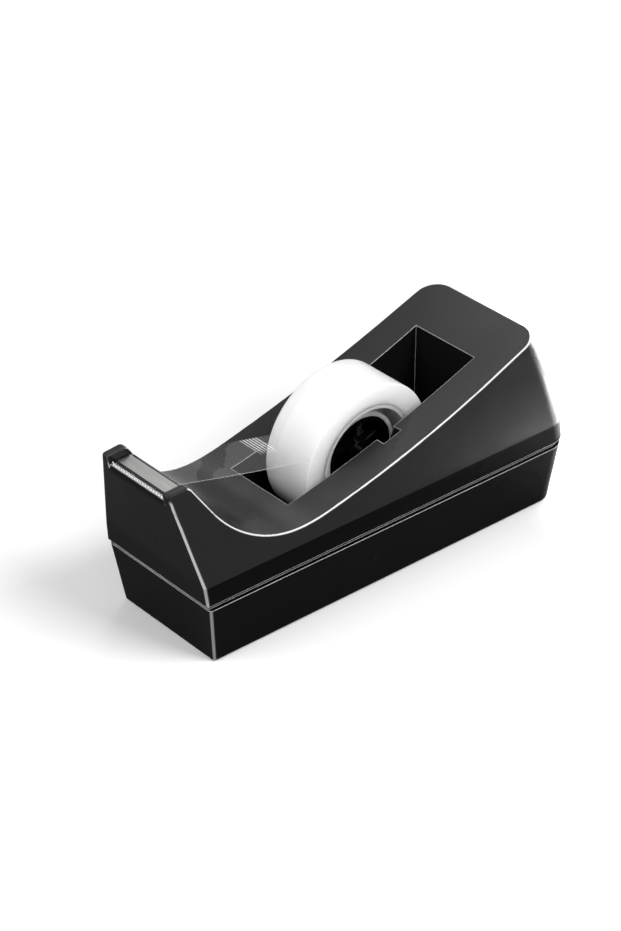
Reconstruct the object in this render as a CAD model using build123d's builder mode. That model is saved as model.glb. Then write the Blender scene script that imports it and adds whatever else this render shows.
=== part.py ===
"""Desk tape dispenser: a black housing with a saddle top on a weighted base, a roll in its well.

Millimetres, +Z up. The blade end points to -X, and the near side is -Y.
The origin is on the surface that it stands on, under the middle of its length.
"""
import os
from math import cos, radians, sin, sqrt, tan

from build123d import *

# ---- Housing: outer form -------------------------------------------------------------------------
LENGTH = 153.0            # nose tip to rear face
REAR_WIDTH = 65.0         # at the lower edge, corner to corner before rounding
FRONT_WIDTH = 47.6        # at the lower edge
EAR_TOP_Z = 62.0          # top of the two ears beside the blade
HOUSING_Z = 23.7          # lower edge of the housing, above the shadow groove
SKIRT_HEIGHT = 6.6        # steep band at the foot of the housing, below the crease
SKIRT_LEAN = 0.06         # run per unit of height in the band
SIDE_LEAN = 0.243         # the same for the sides above the crease
FRONT_LEAN = 0.19         # the front face overhangs by this much per unit of height
SKIRT_FRONT_LEAN = 0.10   # the same in the band
REAR_BOW_R = 130.0        # the rear face bows out on this radius
REAR_BOW_LEVEL = 14.0     # height at which that bow stands upright
REAR_CORNER_R = 7.5
FRONT_CORNER_R = 1.3
RIM_ROUND = 0.8           # soft edge round the top
WALL = 2.2

# ---- Housing: saddle top, from the nose to the rear ----------------------------------------------
DIP_SETBACK = 43.1        # lowest line of the saddle, behind the nose tip
DIP_Z = 35.7
NOSE_CURVE_R = 34.0       # sweep from the dip up to the nose
NOSE_SLOPE = 58.0         # degrees, back of the nose
EAR_CORNER_R = 2.5
EASE_R = 60.0             # short easing behind the dip
EASE_SLOPE = 9.7          # degrees
BACK_R = 462.0            # long sweep up to the rear
BACK_SLOPE = 19.0         # degrees, at the rear

# ---- Nose ----------------------------------------------------------------------------------------
EAR_WALL = 2.7            # thickness of an ear at its top
EAR_ROUND = 0.4           # inner top edges of the ears
LIP_DROP = 4.6            # front lip below the ears' tops
LIP_RISE = 1.4
LIP_BACK = 0.35           # the lip's bevel leans back by this much
LIP_LAND = 0.25           # flat on the lip, in front of the blade
BLADE_THICK = 0.6
BLADE_HEIGHT = 6.0
BLADE_SHOW = 1.5          # tooth tips above the lip
BLADE_FIT = 0.03          # blade in its slot, each side
BLADE_SEAT = 1.0          # plastic under the blade
BLADE_RIB = 0.5           # plastic behind the blade
BLADE_TOOTH = 1.0
BLADE_TEETH = 20
BLADE_SIDE_GAP = 0.35     # blade and plate to each ear
GROOVE_WIDTH = 1.0        # open slot between blade and landing plate
GROOVE_DEPTH = 2.6
PLATE_DEPTH = 4.9         # along X
PLATE_THICK = 0.8
PLATE_DROP = 2.8          # top of the plate below the ears' tops

# ---- Tape, core, hub and axle --------------------------------------------------------------------
ROLL_X = 7.4
ROLL_R = 25.2
ROLL_EDGE = 0.3
TAPE_WIDTH = 19.0
SLEEVE_INNER_R = 16.8     # outer ring of the core
SLEEVE_WALL = 1.2
CORE_BORE_R = 12.7
CORE_RING_WALL = 1.4
CORE_RING_SET = 3.2       # inner ring's ends, inside the tape's edges
CORE_WEB = 1.6
WIND_CLEAR = 0.02         # roll on its core
HUB_CLEAR = 0.05          # hub in its core
HUB_RING_WALL = 1.5
HUB_WEB = 1.8
HUB_FLANGE = 0.9          # thickness of the stop rim on the far side
HUB_FLANGE_PROUD = 0.8
HUB_ROOT = 0.2            # web and spokes run this far into the ring and the boss
HUB_SPOKES = 5
HUB_SPOKE_THICK = 1.4
HUB_BOSS_R = 4.4
HUB_BOSS_LENGTH = 12.0
HUB_SPOKE_WIDTH = 8.0     # along the axle
AXLE_R = 2.7
AXLE_CLEAR = 0.05         # axle in the hub
AXLE_CHAMFER = 0.5

# ---- Well for the roll, and the slots for the axle -----------------------------------------------
WELL_FRONT_X = -28.9
WELL_REAR_X = 49.8
WELL_SIDE_CLEAR = 3.6     # beside the roll
WELL_FLOOR_CLEAR = 2.5    # under the roll
WELL_LIFT = 2.2           # underside of the well above the tray's floor
WELL_CORNER_R = 14.0      # lower corners, seen from the side
WELL_WALL = 1.8
SLOT_TILT = 24.0          # degrees, the slots lean back from upright
SLOT_CLEAR = 0.18         # round the axle
SLOT_DEPTH = 3.2          # into each wall
SLOT_END_GAP = 0.25       # at each end of the axle
SLOT_CHEEK = 1.4          # plastic round and behind a slot

# ---- Base ----------------------------------------------------------------------------------------
BASE_TAPER = 0.125        # the tray's sides draw in towards the floor
BASE_FRONT_TAPER = 0.135
BASE_REAR_TAPER = 0.07
BASE_FRONT_STEP = 1.0     # tray stands back from the housing at the front
BASE_REAR_STEP = 0.5
SHADOW_HEIGHT = 2.0       # shadow groove between housing and tray
SHADOW_DEPTH = 1.5
TONGUE_HEIGHT = 3.0       # tray wall that stands inside the housing
TONGUE_WALL = 1.4
TONGUE_CLEAR = 0.15
TRAY_WALL = 2.0
TRAY_FLOOR = 2.5
PAD_THICK = 1.0
PAD_POCKET = 0.5          # pad sunk into the underside
PAD_INSET = 2.5
PAD_CLEAR = 0.2
BALLAST_CLEAR = 0.4
BALLAST_TOP_GAP = 2.0

# ---- Screws that hold the tray to the housing ----------------------------------------------------
SCREW_FRONT_SETBACK = 26.5    # behind the nose tip
SCREW_FRONT_SIDE = 12.0       # inside the housing's lower edge
SCREW_REAR_SETBACK = 14.5     # before the rear face
SCREW_REAR_SIDE = 12.6
SCREW_R = 1.5
SCREW_HEAD_R = 2.8
SCREW_HEAD_HEIGHT = 1.8
SCREW_GRIP = 7.0          # thread in the housing's post
SCREW_CLEAR = 0.2
PILOT_CLEAR = 0.02        # thread in the post
POST_R = 3.8
TRAY_BOSS_R = 4.6
TRAY_BOSS_HEIGHT = 4.0

# ---- Strip of film from the roll to the blade ----------------------------------------------------
STRIP_EDGE = 0.1          # film's edges inside the roll's
STRIP_THICK = 0.2
STRIP_LIFT = 0.05         # above the landing plate
PEEL_ANGLE = 158.0        # degrees round the roll, where the film leaves it
PEEL_GAP = 0.3

# ---- Working values ------------------------------------------------------------------------------
CUT_MARGIN = 8.0          # cuts and lofts run this far above the ears
LOFT_STEPS = 3            # spans between the plans of the housing's sides
PICK = 0.05               # an edge counts as being in a place within this distance

# ---- Worked out from the sizes above -------------------------------------------------------------
CREASE_Z = HOUSING_Z + SKIRT_HEIGHT
REAR_X = LENGTH / 2
NOSE_X = -LENGTH / 2
DIP_X = NOSE_X + DIP_SETBACK
CREASE_FRONT_X = NOSE_X + FRONT_LEAN * (EAR_TOP_Z - CREASE_Z)
FOOT_FRONT_X = CREASE_FRONT_X + SKIRT_FRONT_LEAN * SKIRT_HEIGHT
SIDE_FLARE = (REAR_WIDTH - FRONT_WIDTH) / 2 / (REAR_X - FOOT_FRONT_X)
BASE_TOP_Z = HOUSING_Z - SHADOW_HEIGHT
BASE_Z = PAD_THICK - PAD_POCKET
ABOVE = EAR_TOP_Z + CUT_MARGIN
REACH = LENGTH            # clear past both ends


def front_x(level):
    """Front face of the housing at a height."""
    if level < CREASE_Z:
        return CREASE_FRONT_X + SKIRT_FRONT_LEAN * (CREASE_Z - level)
    return CREASE_FRONT_X - FRONT_LEAN * (level - CREASE_Z)


def rear_x(level):
    """Bowed rear face of the housing at a height."""
    def bow(height):
        return REAR_BOW_R - sqrt(REAR_BOW_R**2 - (height - REAR_BOW_LEVEL) ** 2)

    return REAR_X + bow(HOUSING_Z) - bow(level)


def side_y(x, level):
    """Half width of the housing at a place along it and a height."""
    half = FRONT_WIDTH / 2 + SIDE_FLARE * (x - FOOT_FRONT_X)
    half -= SKIRT_LEAN * (min(level, CREASE_Z) - HOUSING_Z)
    return half - SIDE_LEAN * max(level - CREASE_Z, 0.0)


def outline(level, front, rear, half, rear_round, front_round):
    """Plan outline with a rounded rear: half is a function of x."""
    with BuildSketch(Plane.XY.offset(level)) as plan:
        with BuildLine():
            Polyline(
                (front, -half(front)), (rear, -half(rear)),
                (rear, half(rear)), (front, half(front)), close=True,
            )
        make_face()
        fillet(plan.vertices().group_by(Axis.X)[-1], rear_round)
        fillet(plan.vertices().group_by(Axis.X)[0], front_round)
    return plan.sketch


def housing_plan(level, inset=0.0):
    """The housing's plan at a height, or the same drawn in by a wall."""
    return outline(
        level, front_x(level) + inset, rear_x(level) - inset,
        lambda x: side_y(x, level) - inset,
        max(REAR_CORNER_R - inset, 1.0), max(FRONT_CORNER_R - inset, 0.5),
    )


def tray_plan(level, inset=0.0):
    """The tray's plan at a height: it draws in towards the floor."""
    depth = BASE_TOP_Z - min(level, BASE_TOP_Z)
    return outline(
        level,
        front_x(HOUSING_Z) + BASE_FRONT_STEP + BASE_FRONT_TAPER * depth + inset,
        REAR_X - BASE_REAR_STEP - BASE_REAR_TAPER * depth - inset,
        lambda x: side_y(x, HOUSING_Z) - BASE_TAPER * depth - inset,
        max(REAR_CORNER_R - inset, 1.0), max(FRONT_CORNER_R - inset, 0.5),
    )


def saddle(drop=0.0):
    """Side view of the space above the saddle, or above a line that lies a wall below it."""
    with BuildSketch(Plane.XZ) as space:
        with BuildLine():
            up = JernArc((DIP_X, DIP_Z - drop), (-1, 0), NOSE_CURVE_R + drop, -NOSE_SLOPE)
            slope = radians(NOSE_SLOPE)
            turn = EAR_CORNER_R * tan(slope / 2)
            climb = (EAR_TOP_Z - (up @ 1).Y) / sin(slope)
            back = Line(up @ 1, up @ 1 + (up % 1) * (climb - turn))
            ear = JernArc(back @ 1, back % 1, EAR_CORNER_R, NOSE_SLOPE)
            ease = JernArc((DIP_X, DIP_Z - drop), (1, 0), EASE_R + drop, EASE_SLOPE)
            sweep_up = JernArc(ease @ 1, ease % 1, BACK_R + drop, BACK_SLOPE - EASE_SLOPE)
            run = (REACH - (sweep_up @ 1).X) / cos(radians(BACK_SLOPE))
            rear = Line(sweep_up @ 1, sweep_up @ 1 + (sweep_up % 1) * run)
            Polyline(rear @ 1, (REACH, ABOVE + REACH), (-REACH, ABOVE + REACH), (-REACH, EAR_TOP_Z), ear @ 1)
        make_face()
    return space.sketch


def foot_plan(level, inset):
    """The housing's lower outline, drawn in by an inset and laid at a height."""
    return outline(
        level, front_x(HOUSING_Z) + inset, REAR_X - inset,
        lambda x: side_y(x, HOUSING_Z) - inset,
        REAR_CORNER_R - inset, max(FRONT_CORNER_R - inset, 0.5),
    )


def well_side(grow, top):
    """Side view of the well, or of its walls' outside, up to a height."""
    with BuildSketch(Plane.XZ) as side:
        with BuildLine():
            floor_z = well_floor_z - grow
            Polyline(
                (WELL_FRONT_X - grow, top), (WELL_FRONT_X - grow, floor_z),
                (WELL_REAR_X + grow, floor_z), (WELL_REAR_X + grow, top), close=True,
            )
        make_face()
        fillet(side.vertices().group_by(Axis.Y)[0], WELL_CORNER_R + grow)
    return side.sketch


def slot_side(radius):
    """Side view of the axle's slot: round at the foot, leaning back and open at the top."""
    with BuildSketch(Plane.XZ) as side:
        with Locations((ROLL_X, roll_z)):
            Circle(radius)
            Rectangle(2 * radius, ABOVE, rotation=-SLOT_TILT, align=(Align.CENTER, Align.MIN))
    return side.sketch


def ring_side(outer, inner=None):
    """A disc or a ring round the axle, seen from the side."""
    with BuildSketch(Plane.XZ) as side:
        with Locations((ROLL_X, roll_z)):
            Circle(outer)
            if inner:
                Circle(inner, mode=Mode.SUBTRACT)
    return side.sketch


# ---- Places worked out from the sizes ------------------------------------------------------------
pad_seat_z = BASE_Z + PAD_POCKET
tray_floor_z = BASE_Z + TRAY_FLOOR
boss_top_z = tray_floor_z + TRAY_BOSS_HEIGHT
well_floor_z = tray_floor_z + WELL_LIFT + WELL_WALL
roll_z = well_floor_z + WELL_FLOOR_CLEAR + ROLL_R
well_half = TAPE_WIDTH / 2 + WELL_SIDE_CLEAR
slot_half = well_half + SLOT_DEPTH
slot_r = AXLE_R + SLOT_CLEAR
axle_half = slot_half - SLOT_END_GAP

lip_z = EAR_TOP_Z - LIP_DROP
lip_top_z = lip_z + LIP_RISE
blade_front_x = front_x(lip_z) + LIP_BACK + LIP_LAND
blade_foot_z = lip_top_z + BLADE_SHOW - BLADE_HEIGHT
ear_half = side_y(NOSE_X, EAR_TOP_Z) - EAR_WALL
blade_half = ear_half - BLADE_SIDE_GAP
groove_front_x = blade_front_x + BLADE_THICK + BLADE_RIB
plate_front_x = groove_front_x + GROOVE_WIDTH
plate_top_z = EAR_TOP_Z - PLATE_DROP
plate_seat_z = plate_top_z - PLATE_THICK

# The blade leans forward with the front face. Its plane lies on the blade's back.
lean = sqrt(1 + FRONT_LEAN**2)
blade_up = Vector(-FRONT_LEAN / lean, 0, 1 / lean)
blade_forward = Vector(-1 / lean, 0, -FRONT_LEAN / lean)
blade_back = Vector(blade_front_x, 0, lip_top_z) - blade_forward * BLADE_THICK
blade_plane = Plane(
    origin=blade_back - blade_up * (BLADE_HEIGHT - BLADE_SHOW), x_dir=(0, -1, 0), z_dir=blade_forward
)

ring_inset = WALL + TONGUE_CLEAR + TONGUE_WALL
screw_spots = [
    (x, side * (side_y(x, HOUSING_Z) - inside))
    for x, inside in (
        (NOSE_X + SCREW_FRONT_SETBACK, SCREW_FRONT_SIDE),
        (REAR_X - SCREW_REAR_SETBACK, SCREW_REAR_SIDE),
    )
    for side in (-1, 1)
]

os.makedirs("parts", exist_ok=True)

# ---- Top housing ---------------------------------------------------------------------------------
upper_levels = [CREASE_Z + (ABOVE - CREASE_Z) * step / LOFT_STEPS for step in range(LOFT_STEPS + 1)]

# The space inside the housing, round the well, the slots' cheeks and the screw posts.
with BuildPart() as hollow:
    loft([housing_plan(level, WALL) for level in upper_levels])
    loft([housing_plan(HOUSING_Z, WALL), housing_plan(CREASE_Z, WALL)], ruled=True)
    extrude(saddle(WALL), REAR_WIDTH, both=True, mode=Mode.SUBTRACT)
    with BuildSketch(Plane.XZ):
        with Locations((DIP_X, blade_foot_z - BLADE_SEAT)):
            Rectangle(REACH, ABOVE, align=(Align.MAX, Align.MIN))
    extrude(amount=REAR_WIDTH, both=True, mode=Mode.SUBTRACT)
    extrude(well_side(WELL_WALL, ABOVE), well_half + WELL_WALL, both=True, mode=Mode.SUBTRACT)
    extrude(slot_side(slot_r + SLOT_CHEEK), slot_half + SLOT_CHEEK, both=True, mode=Mode.SUBTRACT)
    with BuildSketch(Plane.XY.offset(HOUSING_Z)):
        with Locations(*screw_spots):
            Circle(POST_R)
    extrude(amount=EAR_TOP_Z, mode=Mode.SUBTRACT)

with BuildPart() as top_housing:
    loft([housing_plan(level) for level in upper_levels])
    loft([housing_plan(HOUSING_Z), housing_plan(CREASE_Z)], ruled=True)
    extrude(saddle(), REAR_WIDTH, both=True, mode=Mode.SUBTRACT)
    # Soft edge all round the top: every upper edge but the lines across the saddle.
    upper = top_housing.edges().filter_by(lambda e: e.bounding_box().min.Z > CREASE_Z + RIM_ROUND)
    across = upper.filter_by(Axis.Y).sort_by(Axis.X)[1:-1]
    fillet([e for e in upper if e not in across], RIM_ROUND)
    extrude(well_side(0, ABOVE), well_half, both=True, mode=Mode.SUBTRACT)
    add(hollow.part, mode=Mode.SUBTRACT)
    extrude(well_side(WELL_WALL, CREASE_Z), well_half + WELL_WALL, both=True)
    extrude(well_side(0, CREASE_Z), well_half, both=True, mode=Mode.SUBTRACT)
    extrude(slot_side(slot_r), slot_half, both=True, mode=Mode.SUBTRACT)

    # Between the ears: the front lip, the groove behind the blade and the seat of the landing plate.
    with BuildSketch(Plane.XZ):
        with BuildLine():
            Polyline(
                (NOSE_X - REACH, lip_z), (front_x(lip_z), lip_z),
                (front_x(lip_z) + LIP_BACK, lip_top_z), (groove_front_x, lip_top_z),
                (groove_front_x, lip_top_z - GROOVE_DEPTH), (plate_front_x, lip_top_z - GROOVE_DEPTH),
                (plate_front_x, plate_seat_z), (WELL_FRONT_X, plate_seat_z),
                (WELL_FRONT_X, ABOVE), (NOSE_X - REACH, ABOVE), close=True,
            )
        make_face()
    extrude(amount=ear_half, both=True, mode=Mode.SUBTRACT)
    ear_edges = top_housing.edges().filter_by(
        lambda e: e.center().Z > EAR_TOP_Z - PICK and abs(abs(e.center().Y) - ear_half) < PICK
    )
    fillet(ear_edges, EAR_ROUND)
    with BuildSketch(blade_plane.offset(-BLADE_FIT)):
        Rectangle(2 * (blade_half + BLADE_FIT), BLADE_HEIGHT, align=(Align.CENTER, Align.MIN))
    extrude(amount=BLADE_THICK + 2 * BLADE_FIT, mode=Mode.SUBTRACT)

    # Posts that meet the tray's bosses, with a pilot hole for each screw.
    with BuildSketch(Plane.XY.offset(boss_top_z)):
        with Locations(*screw_spots):
            Circle(POST_R)
    extrude(amount=CREASE_Z - boss_top_z)
    with BuildSketch(Plane.XY.offset(boss_top_z)):
        with Locations(*screw_spots):
            Circle(SCREW_R + PILOT_CLEAR)
    extrude(amount=SCREW_GRIP + SCREW_CLEAR, mode=Mode.SUBTRACT)
top_housing.part.label = "top_housing"
export_step(top_housing.part, "parts/top_housing.step")

# ---- Base tray -----------------------------------------------------------------------------------
with BuildPart() as base_tray:
    loft([tray_plan(BASE_Z), tray_plan(BASE_TOP_Z)], ruled=True)
    # The back of the shadow groove, and the tongue that stands inside the housing.
    extrude(foot_plan(BASE_TOP_Z, SHADOW_DEPTH), SHADOW_HEIGHT)
    tongue_top_z = HOUSING_Z + TONGUE_HEIGHT
    tongue_inset = WALL + TONGUE_CLEAR
    loft([housing_plan(HOUSING_Z, tongue_inset), housing_plan(tongue_top_z, tongue_inset)], ruled=True)
    loft(
        [tray_plan(tray_floor_z, TRAY_WALL), foot_plan(BASE_TOP_Z, ring_inset)],
        ruled=True, mode=Mode.SUBTRACT,
    )
    extrude(foot_plan(BASE_TOP_Z, ring_inset), tongue_top_z - BASE_TOP_Z, mode=Mode.SUBTRACT)
    with BuildSketch(Plane.XY.offset(tray_floor_z)):
        with Locations(*screw_spots):
            Circle(TRAY_BOSS_R)
    extrude(amount=TRAY_BOSS_HEIGHT)
    extrude(tray_plan(BASE_Z, PAD_INSET - PAD_CLEAR), PAD_POCKET, mode=Mode.SUBTRACT)
    with Locations(*[Location((x, y, pad_seat_z), (180, 0, 0)) for x, y in screw_spots]):
        CounterBoreHole(
            SCREW_R + SCREW_CLEAR, SCREW_HEAD_R + SCREW_CLEAR, SCREW_HEAD_HEIGHT, boss_top_z - pad_seat_z
        )
base_tray.part.label = "base_tray"
export_step(base_tray.part, "parts/base_tray.step")

# ---- Ballast round the foot of the well ----------------------------------------------------------
with BuildPart() as ballast_block:
    extrude(tray_plan(tray_floor_z, TRAY_WALL + BALLAST_CLEAR), BASE_TOP_Z - BALLAST_TOP_GAP - tray_floor_z)
    with BuildSketch(Plane.XY.offset(tray_floor_z)):
        margin = WELL_WALL + BALLAST_CLEAR
        with Locations(((WELL_FRONT_X + WELL_REAR_X) / 2, 0)):
            Rectangle(WELL_REAR_X - WELL_FRONT_X + 2 * margin, 2 * (well_half + margin))
        with Locations(*screw_spots):
            Circle(TRAY_BOSS_R + BALLAST_CLEAR)
    extrude(amount=BASE_TOP_Z, mode=Mode.SUBTRACT)
ballast_block.part.label = "ballast_block"
export_step(ballast_block.part, "parts/ballast_block.step")

# ---- Screws from below ---------------------------------------------------------------------------
with BuildPart() as base_screws:
    with Locations(*[(x, y, pad_seat_z) for x, y in screw_spots]):
        Cylinder(SCREW_HEAD_R, SCREW_HEAD_HEIGHT, align=(Align.CENTER, Align.CENTER, Align.MIN))
        Cylinder(SCREW_R, boss_top_z + SCREW_GRIP - pad_seat_z, align=(Align.CENTER, Align.CENTER, Align.MIN))
base_screws.part.label = "base_screws"
export_step(base_screws.part, "parts/base_screws.step")

# ---- Non-slip pad under the tray -----------------------------------------------------------------
with BuildPart() as foot_pad:
    extrude(tray_plan(BASE_Z, PAD_INSET), PAD_POCKET)
    extrude(tray_plan(BASE_Z, PAD_INSET), -BASE_Z)
foot_pad.part.label = "foot_pad"
export_step(foot_pad.part, "parts/foot_pad.step")

# ---- Serrated blade ------------------------------------------------------------------------------
with BuildPart() as cutter_blade:
    with BuildSketch(blade_plane):
        pitch = 2 * blade_half / BLADE_TEETH
        root = BLADE_HEIGHT - BLADE_TOOTH
        teeth = []
        for tooth in range(BLADE_TEETH):
            left = -blade_half + tooth * pitch
            teeth += [(left, root), (left + pitch / 2, BLADE_HEIGHT)]
        with BuildLine():
            Polyline((-blade_half, 0), *teeth, (blade_half, root), (blade_half, 0), close=True)
        make_face()
    extrude(amount=BLADE_THICK)
cutter_blade.part.label = "cutter_blade"
export_step(cutter_blade.part, "parts/cutter_blade.step")

# ---- Landing plate behind the blade --------------------------------------------------------------
with BuildPart() as landing_plate:
    with Locations((plate_front_x, 0, plate_seat_z)):
        Box(PLATE_DEPTH, 2 * blade_half, PLATE_THICK, align=(Align.MIN, Align.CENTER, Align.MIN))
landing_plate.part.label = "landing_plate"
export_step(landing_plate.part, "parts/landing_plate.step")

# ---- Axle ----------------------------------------------------------------------------------------
with BuildPart() as axle:
    extrude(ring_side(AXLE_R), axle_half, both=True)
    chamfer(axle.edges().filter_by(GeomType.CIRCLE), AXLE_CHAMFER)
axle.part.label = "axle"
export_step(axle.part, "parts/axle.step")

# ---- Hub: a ring, a web with spokes and a boss ---------------------------------------------------
hub_r = CORE_BORE_R - HUB_CLEAR
hub_inner_r = hub_r - HUB_RING_WALL
ring_half = TAPE_WIDTH / 2 - CORE_RING_SET
with BuildPart() as spool_hub:
    extrude(ring_side(hub_r, hub_inner_r), ring_half, both=True)
    extrude(ring_side(hub_inner_r + HUB_ROOT, HUB_BOSS_R - HUB_ROOT), HUB_WEB / 2, both=True)
    with BuildSketch(Plane.XZ):
        with Locations((ROLL_X, roll_z)):
            with PolarLocations((HUB_BOSS_R + hub_inner_r) / 2, HUB_SPOKES, start_angle=90):
                Rectangle(hub_inner_r - HUB_BOSS_R + 2 * HUB_ROOT, HUB_SPOKE_THICK)
    extrude(amount=HUB_SPOKE_WIDTH / 2, both=True)
    extrude(ring_side(HUB_BOSS_R, AXLE_R), HUB_BOSS_LENGTH / 2, both=True)
    with BuildSketch(Plane.XZ.offset(-ring_half)):
        with Locations((ROLL_X, roll_z)):
            Circle(hub_r + HUB_FLANGE_PROUD)
            Circle(hub_inner_r, mode=Mode.SUBTRACT)
    extrude(amount=-HUB_FLANGE)
    extrude(ring_side(AXLE_R + AXLE_CLEAR), TAPE_WIDTH, both=True, mode=Mode.SUBTRACT)
spool_hub.part.label = "spool_hub"
export_step(spool_hub.part, "parts/spool_hub.step")

# ---- Core of the roll: two rings joined by a web -------------------------------------------------
core_ring_r = CORE_BORE_R + CORE_RING_WALL
sleeve_r = SLEEVE_INNER_R + SLEEVE_WALL
with BuildPart() as tape_core:
    extrude(ring_side(sleeve_r, SLEEVE_INNER_R), TAPE_WIDTH / 2, both=True)
    extrude(ring_side(sleeve_r, CORE_BORE_R), CORE_WEB / 2, both=True)
    extrude(ring_side(core_ring_r, CORE_BORE_R), ring_half, both=True)
tape_core.part.label = "tape_core"
export_step(tape_core.part, "parts/tape_core.step")

# ---- Wound tape ----------------------------------------------------------------------------------
with BuildPart() as tape_roll:
    extrude(ring_side(ROLL_R, sleeve_r + WIND_CLEAR), TAPE_WIDTH / 2, both=True)
    outer_edges = tape_roll.edges().filter_by(GeomType.CIRCLE).group_by(SortBy.RADIUS)[-1]
    fillet(outer_edges, ROLL_EDGE)
tape_roll.part.label = "tape_roll"
export_step(tape_roll.part, "parts/tape_roll.step")

# ---- Film from the roll over the landing plate ---------------------------------------------------
peel = radians(PEEL_ANGLE)
peel_x = ROLL_X + (ROLL_R + PEEL_GAP) * cos(peel)
peel_z = roll_z + (ROLL_R + PEEL_GAP) * sin(peel)
film_z = plate_top_z + STRIP_LIFT
with BuildPart() as tape_strip:
    with BuildSketch(Plane.XZ):
        with BuildLine():
            under = Polyline((plate_front_x, film_z), (plate_front_x + PLATE_DEPTH, film_z), (peel_x, peel_z))
            offset(under, STRIP_THICK, side=Side.LEFT)
        make_face()
    extrude(amount=TAPE_WIDTH / 2 - STRIP_EDGE, both=True)
tape_strip.part.label = "tape_strip"
export_step(tape_strip.part, "parts/tape_strip.step")
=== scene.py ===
"""Looks of a desk tape dispenser: finishes, teeth, screws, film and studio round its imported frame.

Metres, +Z up. The blade end points to -X and the near side is -Y.
"""
from math import cos, pi, radians, sin

import bmesh
import bpy
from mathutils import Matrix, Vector


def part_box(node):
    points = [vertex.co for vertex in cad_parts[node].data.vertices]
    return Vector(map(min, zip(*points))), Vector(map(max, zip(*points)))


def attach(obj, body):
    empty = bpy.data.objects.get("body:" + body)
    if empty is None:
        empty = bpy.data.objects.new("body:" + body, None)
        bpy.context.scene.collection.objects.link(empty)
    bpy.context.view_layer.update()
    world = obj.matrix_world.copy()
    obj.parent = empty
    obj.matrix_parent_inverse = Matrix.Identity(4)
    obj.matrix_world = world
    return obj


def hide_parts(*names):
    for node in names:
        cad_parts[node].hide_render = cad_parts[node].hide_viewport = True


bl_info = {
    "name": "Desk Tape Dispenser",
    "version": (1, 0, 0),
    "blender": (4, 5, 0),
    "location": "3D View > Sidebar > Dispenser",
    "description": "Finishes, film and studio for a desk tape dispenser built round its packed frame",
    "category": "Object",
}

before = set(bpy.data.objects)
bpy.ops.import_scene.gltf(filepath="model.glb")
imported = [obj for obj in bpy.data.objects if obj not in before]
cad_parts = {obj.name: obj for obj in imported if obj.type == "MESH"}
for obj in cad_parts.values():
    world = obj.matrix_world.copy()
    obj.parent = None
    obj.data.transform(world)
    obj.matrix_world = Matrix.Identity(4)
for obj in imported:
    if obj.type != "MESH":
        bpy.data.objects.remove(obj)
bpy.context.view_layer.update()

MM = 0.001
MERGE_DISTANCE = 0.002 * MM
SHARP_ANGLE = radians(28)

ROLL_LOW, ROLL_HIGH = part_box("tape_roll")
AXLE_X = (ROLL_LOW.x + ROLL_HIGH.x) / 2
AXLE_Z = (ROLL_LOW.z + ROLL_HIGH.z) / 2
ROLL_HALF = (ROLL_HIGH.y - ROLL_LOW.y) / 2
NOSE_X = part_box("top_housing")[0].x
EAR_TOP_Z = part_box("top_housing")[1].z


# ---- Sizes, colours and studio values that a user would change ------------------------------------

class DispenserSizes(bpy.types.PropertyGroup):
    """Sizes of what is added to the frame."""

    crease_height: bpy.props.FloatProperty(
        name="Crease height", description="Height of the crease above the housing's steep band",
        default=30.3 * MM, unit="LENGTH",
    )
    tooth_count: bpy.props.IntProperty(
        name="Teeth", description="Number of teeth on the blade", default=20, min=4,
    )
    tooth_height: bpy.props.FloatProperty(
        name="Tooth height", description="Height of a tooth above its root",
        default=0.75 * MM, unit="LENGTH",
    )
    blade_thickness: bpy.props.FloatProperty(
        name="Blade thickness", description="Thickness of the blade",
        default=0.6 * MM, unit="LENGTH",
    )
    blade_lean: bpy.props.FloatProperty(
        name="Blade lean", description="Angle by which the blade leans forward",
        default=radians(10.76), subtype="ANGLE",
    )
    recess_width: bpy.props.FloatProperty(
        name="Recess width", description="Width of an arm of a screw's cross recess",
        default=0.7 * MM, unit="LENGTH",
    )
    recess_length: bpy.props.FloatProperty(
        name="Recess length", description="Length across a screw's cross recess",
        default=3.0 * MM, unit="LENGTH",
    )
    recess_depth: bpy.props.FloatProperty(
        name="Recess depth", description="Depth of a screw's cross recess",
        default=1.1 * MM, unit="LENGTH",
    )
    film_thickness: bpy.props.FloatProperty(
        name="Film thickness", description="Thickness of the strip of film",
        default=0.12 * MM, unit="LENGTH",
    )
    film_sag: bpy.props.FloatProperty(
        name="Film sag", description="How far the strip sags between the plate and the roll",
        default=0.35 * MM, unit="LENGTH",
    )


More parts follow.
